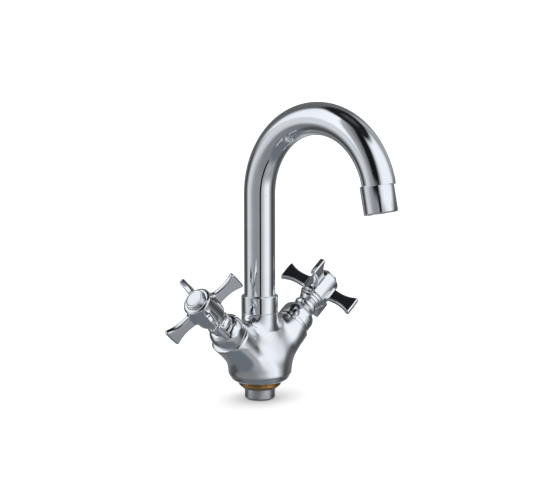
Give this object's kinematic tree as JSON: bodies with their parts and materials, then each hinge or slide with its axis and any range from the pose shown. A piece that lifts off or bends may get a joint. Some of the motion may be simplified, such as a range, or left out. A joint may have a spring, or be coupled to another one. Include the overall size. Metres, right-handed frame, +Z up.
{
  "type": "basin mixer tap",
  "caption": "Two-handle monobloc basin mixer with a swivelling swan-neck spout, cross handles on tilted ceramic-disc valves, a screw-on aerator and a spigot for a single tap hole.",
  "frame": {"origin": "centre of the seating face on the basin, on the spout's swivel axis", "axes": "+Z up along the swivel axis, -Y towards the outlet at rest, -X to the hot valve, +X to the cold valve"},
  "size_m": [0.1803, 0.1543, 0.2285],
  "materials": {
    "chrome": "mirror-polished plating",
    "raw_brass": "turned, unplated",
    "black_rubber": "moulded, satin",
    "white_plastic": "moulded",
    "steel": "stainless, satin",
    "ceramic": "lapped"
  },
  "bodies": {
    "body": {"body_casting": "chrome", "inlet_spigot": "chrome", "base_ring": "raw_brass", "base_gasket": "black_rubber", "collar_nut": "chrome", "glide_ring": "white_plastic", "hot_bonnet": "chrome", "hot_valve_body": "raw_brass", "hot_valve_o_ring": "black_rubber", "hot_fixed_disc": "ceramic", "hot_seat_seal": "black_rubber", "cold_bonnet": "chrome", "cold_valve_body": "raw_brass", "cold_valve_o_ring": "black_rubber", "cold_fixed_disc": "ceramic", "cold_seat_seal": "black_rubber"},
    "spout": {"spout_stem": "raw_brass", "spout_o_ring_upper": "black_rubber", "spout_o_ring_lower": "black_rubber", "spout_tube": "chrome", "aerator_housing": "chrome", "aerator_gasket": "black_rubber", "aerator_insert": "white_plastic", "aerator_screen": "steel"},
    "hot_handle_set": {"hot_spindle": "raw_brass", "hot_spindle_o_ring": "black_rubber", "hot_retaining_clip": "steel", "hot_moving_disc": "ceramic", "hot_handle": "chrome", "hot_handle_screw": "steel", "hot_cap": "chrome"},
    "cold_handle_set": {"cold_spindle": "raw_brass", "cold_spindle_o_ring": "black_rubber", "cold_retaining_clip": "steel", "cold_moving_disc": "ceramic", "cold_handle": "chrome", "cold_handle_screw": "steel", "cold_cap": "chrome"}
  },
  "joints": [
    {"name": "spout_swivel", "type": "hinge", "parent": "body", "child": "spout", "pos_m": [0, 0, 0.06], "axis": [0, 0, 1], "continuous": true},
    {"name": "hot_valve", "type": "hinge", "parent": "body", "child": "hot_handle_set", "pos_m": [0, 0, 0.0125], "axis": [-0.7748, -0.061, 0.6293], "range_deg": [0, 90]},
    {"name": "cold_valve", "type": "hinge", "parent": "body", "child": "cold_handle_set", "pos_m": [0, 0, 0.0125], "axis": [0.7748, -0.061, 0.6293], "range_deg": [-90, 0]}
  ]
}
